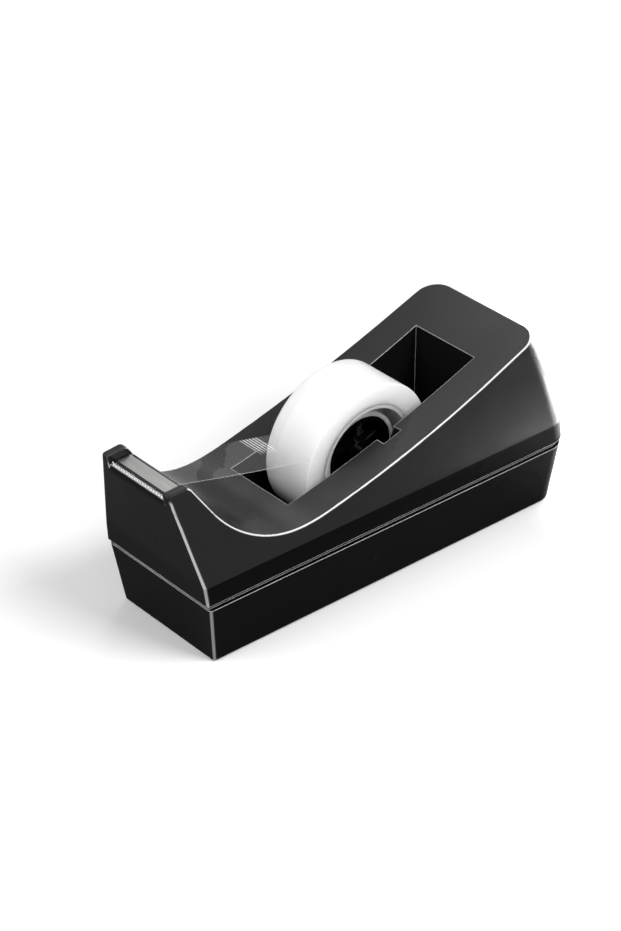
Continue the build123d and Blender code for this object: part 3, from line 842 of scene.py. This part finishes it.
class DISPENSER_OT_stage(bpy.types.Operator):
    """Lay the pale floor and set the camera and the lights"""

    bl_idname = "dispenser.stage"
    bl_label = "Stage"

    FLOOR_HALF = 3.0
    # Where the floor light falls: beside the dispenser, at the camera's right.
    FLOOR_SPOT = Vector((0.22, -0.065, 0.0))

    def execute(self, context):
        studio = context.scene.dispenser_studio
        self.lay_floor(context.scene.dispenser_colours)
        self.set_camera(context.scene, studio)
        self.set_lights(context.scene, studio)
        context.scene.view_settings.view_transform = "Standard"
        return {"FINISHED"}

    def lay_floor(self, colours):
        """A flat square floor under the dispenser."""
        half = self.FLOOR_HALF
        corners = [(-half, -half, 0), (half, -half, 0), (half, half, 0), (-half, half, 0)]
        mesh = bpy.data.meshes.new("floor")
        mesh.from_pydata(corners, [], [(0, 1, 2, 3)])
        mesh.materials.append(floor_material(colours.floor))
        new_object("floor", mesh)

    def set_camera(self, scene, studio):
        """The camera, which looks at its target from the studio's angle and distance."""
        turn, rise = studio.azimuth, studio.elevation
        away = Vector((sin(turn) * cos(rise), -cos(turn) * cos(rise), sin(rise)))
        data = bpy.data.cameras.new("camera")
        data.lens = studio.lens
        data.sensor_width = 36.0
        data.clip_start = 0.01
        camera = bpy.data.objects.new("camera", data)
        camera.location = Vector(studio.target) + away * studio.distance
        camera.rotation_euler = away.to_track_quat("Z", "Y").to_euler()
        scene.collection.objects.link(camera)
        scene.camera = camera

    def set_lights(self, scene, studio):
        """Five soft lights, and even light from all round."""
        world = bpy.data.worlds.new("surroundings")
        world.use_nodes = True
        background = world.node_tree.nodes["Background"]
        background.inputs["Color"].default_value = WHITE
        background.inputs["Strength"].default_value = studio.world_strength
        scene.world = world
        target = Vector(studio.target)
        # Name, aim, direction from the aim, distance, size, spread in degrees and power.
        for name, aim, direction, distance, size, spread, power in (
            ("key_light", target, (0.22, -0.62, 0.75), 1.3, 0.62, 180, studio.key_power),
            ("fill_light", target, (-0.75, 0.1, 0.65), 0.9, 0.6, 180, studio.fill_power),
            ("floor_light", self.FLOOR_SPOT, (0.0, 0.0, 1.0), 0.3, 0.12, 40, studio.floor_power),
            ("back_light", target, (0.5, 0.52, 0.62), 0.5, 0.14, 180, studio.back_power),
            ("top_light", target, (0.31, 0.46, 0.82), 0.49, 0.1, 180, studio.top_power),
        ):
            data = bpy.data.lights.new(name, "AREA")
            data.size = size
            data.spread = radians(spread)
            data.energy = power
            lamp = bpy.data.objects.new(name, data)
            towards = Vector(direction).normalized()
            lamp.location = aim + towards * distance
            lamp.rotation_euler = towards.to_track_quat("Z", "Y").to_euler()
            scene.collection.objects.link(lamp)


class DISPENSER_OT_housing(bpy.types.Operator):
    """Dress the black housing in four blacks: the sides, a lighter saddle that is painted light, and a
    darker lower band, front and well that are painted shade
    """

    bl_idname = "dispenser.housing"
    bl_label = "Housing"

    # Numbers of the materials that aren't the gloss: painted shade on the band and on the front with
    # the well, painted light on the saddle.
    BAND, SADDLE, FRONT = 1, 2, 3
    # How far the well reaches at most beside, before and behind the roll.
    WELL_SIDE, WELL_FRONT, WELL_REAR = 5 * MM, 12 * MM, 18 * MM
    CREASE_SLACK = 0.05 * MM

    def execute(self, context):
        sizes, colours = context.scene.dispenser_sizes, context.scene.dispenser_colours
        # The saddle's lighter black is painted light; the band's and the front's darker blacks are
        # painted shade.
        finishes = [
            moulded_plastic(name, colour, colours.wear_and_highlight, specular, roughness, highlighted=highlighted)
            for name, colour, specular, roughness, highlighted in (
                ("housing_black", colours.housing, 0.07, (0.12, 0.2), 0.6),
                ("band_black", colours.base, 0.015, (0.2, 0.3), 0.4),
                ("saddle_black", colours.saddle, 0.2, (0.24, 0.32), 0.6),
                ("front_black", colours.front, 0.01, (0.2, 0.3), 0.6),
            )
        ]
        piece = dress_node("top_housing", "housing_shell", "dispenser", "housing_black", *finishes)
        for face in piece.data.polygons:
            heights = [piece.data.vertices[i].co.z for i in face.vertices]
            faces_front = face.normal.x < -0.9
            upright = abs(face.normal.z) < 0.5
            upward = face.normal.z > 0.45 and abs(face.normal.y) < 0.2
            # Faces are sorted by the way they face: the front and the well get painted shade, the band
            # below the crease painted shade, the upward saddle painted light.
            if faces_front or (upright and self.in_well(face.center)):
                face.material_index = self.FRONT
            elif upright and max(heights) < sizes.crease_height + self.CREASE_SLACK:
                face.material_index = self.BAND
            elif upward and min(heights) > sizes.crease_height:
                face.material_index = self.SADDLE
        return {"FINISHED"}

    def in_well(self, point):
        """Whether a point lies in the well's outline, seen from above."""
        beside = abs(point.y) < ROLL_HALF + self.WELL_SIDE
        return beside and ROLL_LOW.x - self.WELL_FRONT < point.x < ROLL_HIGH.x + self.WELL_REAR


class DISPENSER_OT_base(bpy.types.Operator):
    """Dress the tray, the ballast in it and the pad under it"""

    bl_idname = "dispenser.base"
    bl_label = "Base"

    def execute(self, context):
        colours = context.scene.dispenser_colours
        # The tray's lighter edge lines are partly scuffs and partly painted highlight.
        tray = moulded_plastic(
            "base_black", colours.base, colours.wear_and_highlight, specular=0.012, roughness=(0.2, 0.3), highlighted=0.3)
        dress_node("base_tray", "tray_shell", "dispenser", "base_black", tray)
        pad = rough_sheet("pad_rubber", colours.rubber, scale=1400.0, depth=0.6, roughness=0.75)
        dress_node("foot_pad", "pad_sheet", "dispenser", "pad_rubber", pad)
        cast = rough_sheet("ballast_cast", colours.ballast, scale=500.0, depth=0.8, roughness=0.7)
        dress_node("ballast_block", "ballast_cast", "dispenser", "ballast", cast)
        return {"FINISHED"}


class DISPENSER_OT_screws(bpy.types.Operator):
    """Put a cross-recessed screw in each of the four holes under the tray"""

    bl_idname = "dispenser.screws"
    bl_label = "Screws"

    HEAD_HEIGHT = 1.8 * MM

    def execute(self, context):
        sizes, colours = context.scene.dispenser_sizes, context.scene.dispenser_colours
        low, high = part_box("base_screws")
        steel = brushed_steel(
            "screw_steel", colours.steel, roughness=(0.25, 0.4), depth=0.1,
            across=900.0, along=900.0)
        points = [(x, y, low.z) for x, y in corner_spots("base_screws")]
        piece = grow("screws_cross_head", points, screw_tree(steel), {
            "Head height": self.HEAD_HEIGHT,
            "Shank length": high.z - low.z - self.HEAD_HEIGHT,
            "Recess width": sizes.recess_width,
            "Recess length": sizes.recess_length,
            "Recess depth": sizes.recess_depth,
        })
        dress(piece, "dispenser", [steel], ["base_screws"])
        return {"FINISHED"}


class DISPENSER_OT_cutter(bpy.types.Operator):
    """Make the serrated blade, and dress the landing plate behind it"""

    bl_idname = "dispenser.cutter"
    bl_label = "Blade and landing plate"

    def execute(self, context):
        sizes, colours = context.scene.dispenser_sizes, context.scene.dispenser_colours
        low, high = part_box("cutter_blade")
        bright = brushed_steel(
            "blade_steel", colours.blade, roughness=(0.1, 0.16), depth=0.005,
            across=3000.0, along=120.0)
        lean = sizes.blade_lean
        drop = sizes.blade_thickness * sin(lean)
        height = (high.z - low.z - drop) / cos(lean)
        foot = (high.x, 0.0, low.z + drop)
        piece = grow("blade_serrated", [foot], blade_tree(bright), {
            "Width": high.y - low.y,
            "Height": height,
            "Thickness": sizes.blade_thickness,
            "Teeth": sizes.tooth_count,
            "Tooth height": sizes.tooth_height,
            "Lean": lean,
        })
        dress(piece, "dispenser", [bright], ["cutter_blade"])
        plate = brushed_steel(
            "plate_steel", colours.plate, roughness=(0.3, 0.45), depth=0.35,
            across=1700.0, along=60.0, dark=0.5)
        dress_node("landing_plate", "plate_brushed", "dispenser", "plate_steel", plate)
        return {"FINISHED"}


class DISPENSER_OT_spool(bpy.types.Operator):
    """Dress the axle, the hub and the white core"""

    bl_idname = "dispenser.spool"
    bl_label = "Axle, hub and core"

    def execute(self, context):
        colours = context.scene.dispenser_colours
        black = moulded_plastic(
            "hub_gloss", colours.hub, colours.hub, specular=0.2, roughness=(0.05, 0.1))
        dress_node("spool_hub", "hub_spoked", "spool", "hub_black", black)
        pin = moulded_plastic(
            "axle_black", colours.hub, colours.hub, specular=0.4, roughness=(0.12, 0.2))
        dress_node("axle", "axle_pin", "axle", "axle_black", pin)
        white = moulded_plastic(
            "core_white", colours.core, colours.core, specular=0.5, roughness=(0.25, 0.35), milky=1.0)
        dress_node("tape_core", "core_rings", "spool", "core_white", white)
        return {"FINISHED"}


class DISPENSER_OT_tape(bpy.types.Operator):
    """Dress the wound tape"""

    bl_idname = "dispenser.tape"
    bl_label = "Wound tape"

    def execute(self, context):
        milky = wound_tape_material(context.scene.dispenser_colours.tape)
        dress_node("tape_roll", "tape_wound", "spool", "wound_tape", milky)
        return {"FINISHED"}


class DISPENSER_OT_film(bpy.types.Operator):
    """Lay the strip of clear film from the roll over the landing plate"""

    bl_idname = "dispenser.film"
    bl_label = "Film"

    PLATE_STEPS = 6
    LENGTH_STEPS = 60
    WIDTH_STEPS = 24

    def execute(self, context):
        sizes, colours = context.scene.dispenser_sizes, context.scene.dispenser_colours
        low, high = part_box("tape_strip")
        plate_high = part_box("landing_plate")[1]
        start = Vector((low.x, 0, high.z - sizes.film_thickness))
        bend = Vector((plate_high.x, 0, high.z - sizes.film_thickness))
        end = Vector((high.x, 0, low.z + sizes.film_thickness))
        path = [start.lerp(bend, i / self.PLATE_STEPS) for i in range(self.PLATE_STEPS)]
        steps = self.LENGTH_STEPS
        path += [
            bend.lerp(end, i / steps) - Vector((0, 0, sizes.film_sag * sin(pi * i / steps)))
            for i in range(steps + 1)
        ]
        half = high.y
        shape = bmesh.new()
        rows = []
        for point in path:
            rows.append([
                shape.verts.new((point.x, half * (2 * j / self.WIDTH_STEPS - 1), point.z))
                for j in range(self.WIDTH_STEPS + 1)
            ])
        for row, following in zip(rows, rows[1:]):
            for j in range(self.WIDTH_STEPS):
                shape.faces.new((row[j], following[j], following[j + 1], row[j + 1]))
        bmesh.ops.recalc_face_normals(shape, faces=shape.faces)
        for face in shape.faces:
            face.smooth = True
        mesh = bpy.data.meshes.new("film_strip")
        shape.to_mesh(mesh)
        shape.free()
        piece = new_object("film_strip", mesh)
        skin = piece.modifiers.new("Thickness", "SOLIDIFY")
        skin.thickness = sizes.film_thickness
        skin.offset = 0.0
        dress(piece, "dispenser", [film_material(colours.film)], ["tape_strip"])
        return {"FINISHED"}


class DISPENSER_PT_sidebar(bpy.types.Panel):
    """Buttons, sizes and colours of the dispenser"""

    bl_label = "Desk tape dispenser"
    bl_idname = "DISPENSER_PT_sidebar"
    bl_space_type = "VIEW_3D"
    bl_region_type = "UI"
    bl_category = "Dispenser"

    def draw(self, context):
        for operator in OPERATORS:
            self.layout.operator(operator.bl_idname)
        for group in ("dispenser_sizes", "dispenser_colours", "dispenser_studio"):
            box = self.layout.box()
            values = getattr(context.scene, group)
            for name in values.bl_rna.properties.keys():
                if name not in ("rna_type", "name"):
                    box.prop(values, name)


OPERATORS = (
    DISPENSER_OT_stage,
    DISPENSER_OT_housing,
    DISPENSER_OT_base,
    DISPENSER_OT_screws,
    DISPENSER_OT_cutter,
    DISPENSER_OT_spool,
    DISPENSER_OT_tape,
    DISPENSER_OT_film,
)
CLASSES = (DispenserSizes, DispenserColours, DispenserStudio, *OPERATORS, DISPENSER_PT_sidebar)


def register():
    """Registers the classes and hangs their values on the scene."""
    for cls in CLASSES:
        bpy.utils.register_class(cls)
    bpy.types.Scene.dispenser_sizes = bpy.props.PointerProperty(type=DispenserSizes)
    bpy.types.Scene.dispenser_colours = bpy.props.PointerProperty(type=DispenserColours)
    bpy.types.Scene.dispenser_studio = bpy.props.PointerProperty(type=DispenserStudio)


def unregister():
    """Takes the values off the scene and unregisters the classes."""
    del bpy.types.Scene.dispenser_studio
    del bpy.types.Scene.dispenser_colours
    del bpy.types.Scene.dispenser_sizes
    for cls in reversed(CLASSES):
        bpy.utils.unregister_class(cls)


def main():
    """Builds the scene in order."""
    register()
    for operator in OPERATORS:
        group, name = operator.bl_idname.split(".")
        getattr(getattr(bpy.ops, group), name)()


if __name__ == "__main__":
    main()
